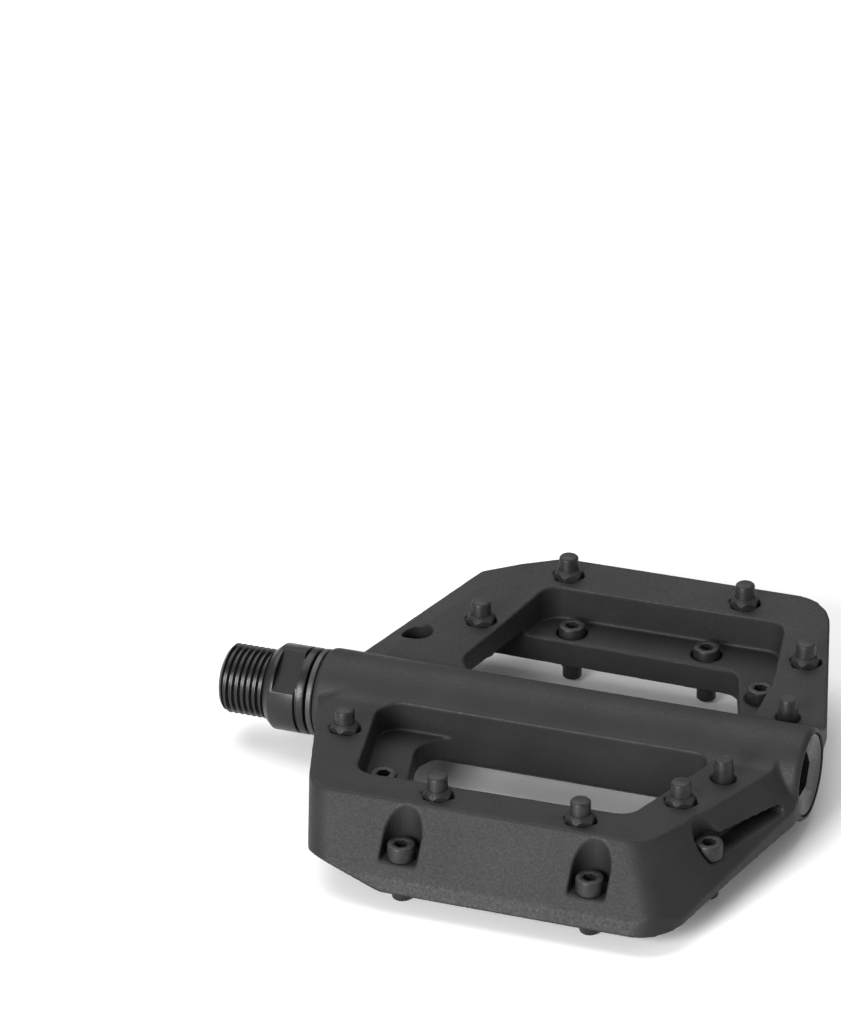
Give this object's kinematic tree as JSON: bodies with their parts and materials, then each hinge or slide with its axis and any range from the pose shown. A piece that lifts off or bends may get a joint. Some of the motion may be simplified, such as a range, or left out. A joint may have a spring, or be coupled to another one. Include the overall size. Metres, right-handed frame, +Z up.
{
  "type": "flat platform pedal",
  "caption": "Flat platform pedal: moulded two-window platform with screw-in traction pins, turning on a threaded steel spindle.",
  "frame": {"origin": "on the spindle axis, in the plane of the shoulder that seats on the crank arm", "axes": "+X along the spindle from the crank outwards, +Y towards the bicycle's rear with the pedal level, +Z up out of the upper tread face"},
  "size_m": [0.1233, 0.1132, 0.0234],
  "materials": {
    "moulded_nylon": "glass-filled nylon, fine moulded grain, matte charcoal black",
    "black_steel": "black oxide chromoly steel, satin",
    "pin_steel": "black phosphated steel",
    "seal_rubber": "nitrile rubber, matte black",
    "bush_polymer": "self-lubricating bearing polymer, dull yellow",
    "bearing_steel": "ground and polished bearing steel",
    "cage_brass": "pressed brass",
    "shield_steel": "pressed steel shield",
    "cap_plastic": "satin black moulded cap with worn bright edges",
    "zinc_steel": "zinc plated steel"
  },
  "bodies": {
    "spindle": {"spindle": "black_steel", "bearing_inner_race": "bearing_steel", "lock_washer": "zinc_steel", "lock_nut": "zinc_steel"},
    "platform": {"platform_body": "moulded_nylon", "lip_seal": "seal_rubber", "inboard_bush": "bush_polymer", "bearing_outer_race": "bearing_steel", "bearing_shield_inboard": "shield_steel", "bearing_shield_outboard": "shield_steel", "end_cap": "cap_plastic", "end_cap_o_ring": "seal_rubber", "grub_pins_top": "pin_steel", "grub_pins_bottom": "pin_steel", "pin_screws_top_rear": "pin_steel", "pin_nuts_top_rear": "pin_steel", "pin_screws_bottom_rear": "pin_steel", "pin_nuts_bottom_rear": "pin_steel", "pin_screws_top_front": "pin_steel", "pin_nuts_top_front": "pin_steel", "pin_screws_bottom_front": "pin_steel", "pin_nuts_bottom_front": "pin_steel", "pin_screws_top_inboard": "pin_steel", "pin_nuts_top_inboard": "pin_steel", "pin_screws_bottom_inboard": "pin_steel", "pin_nuts_bottom_inboard": "pin_steel", "pin_screws_top_outboard": "pin_steel", "pin_nuts_top_outboard": "pin_steel", "pin_screws_bottom_outboard": "pin_steel", "pin_nuts_bottom_outboard": "pin_steel"},
    "ball_cage": {"bearing_balls": "bearing_steel", "bearing_cage": "cage_brass"}
  },
  "joints": [
    {"name": "platform_spin", "type": "hinge", "parent": "spindle", "child": "platform", "pos_m": [0.06, 0, 0], "axis": [1, 0, 0], "continuous": true},
    {"name": "bearing_cage_spin", "type": "hinge", "parent": "spindle", "child": "ball_cage", "pos_m": [0.0945, 0, 0], "axis": [1, 0, 0], "continuous": true}
  ],
  "couplings": [
    {"joint": "bearing_cage_spin", "follows": "platform_spin", "ratio": 0.5833}
  ]
}
